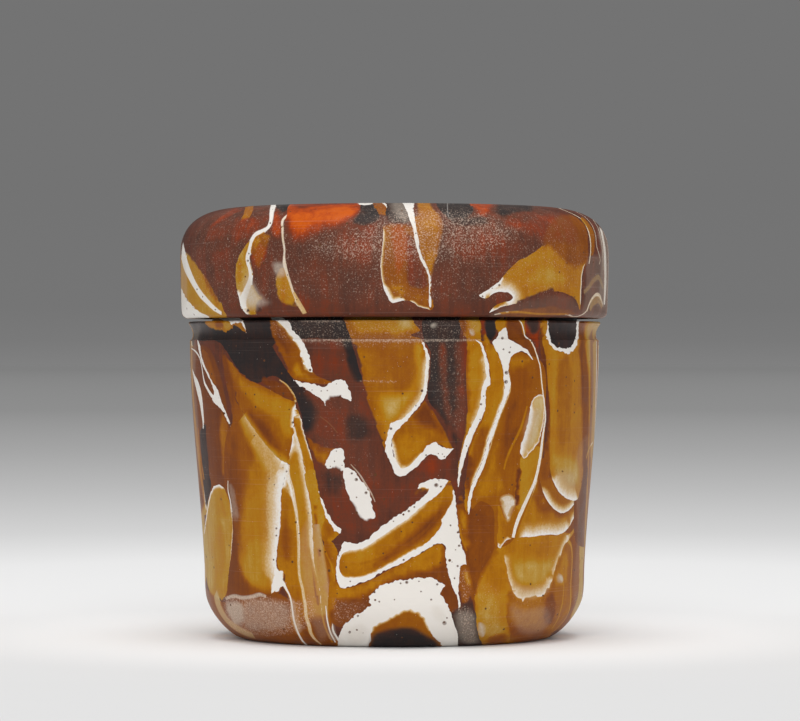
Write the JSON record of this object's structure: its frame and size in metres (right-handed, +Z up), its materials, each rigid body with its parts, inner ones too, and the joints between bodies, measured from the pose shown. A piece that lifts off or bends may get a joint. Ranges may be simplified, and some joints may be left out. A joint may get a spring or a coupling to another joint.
{
  "type": "pyxis",
  "caption": "Small round cosmetics box of marbled mosaic glass with a tapering body, rounded heel and a heavy rounded lid that lifts off an upright flange.",
  "frame": {"origin": "centre of the flat foot, where the box stands", "axes": "+Z up along the axis of the box, -Y towards the side that the picture shows, +X to that view's right"},
  "size_m": [0.042, 0.042, 0.042],
  "materials": {
    "body_glass": "satin, weathered polish",
    "lid_glass": "satin, weathered polish"
  },
  "bodies": {
    "body": {"body": "body_glass"},
    "lid": {"lid": "lid_glass"}
  },
  "joints": [
    {"name": "lid_lift", "type": "slide", "parent": "body", "child": "lid", "axis": [0, 0, 1], "range_m": [0, 0.04]}
  ]
}
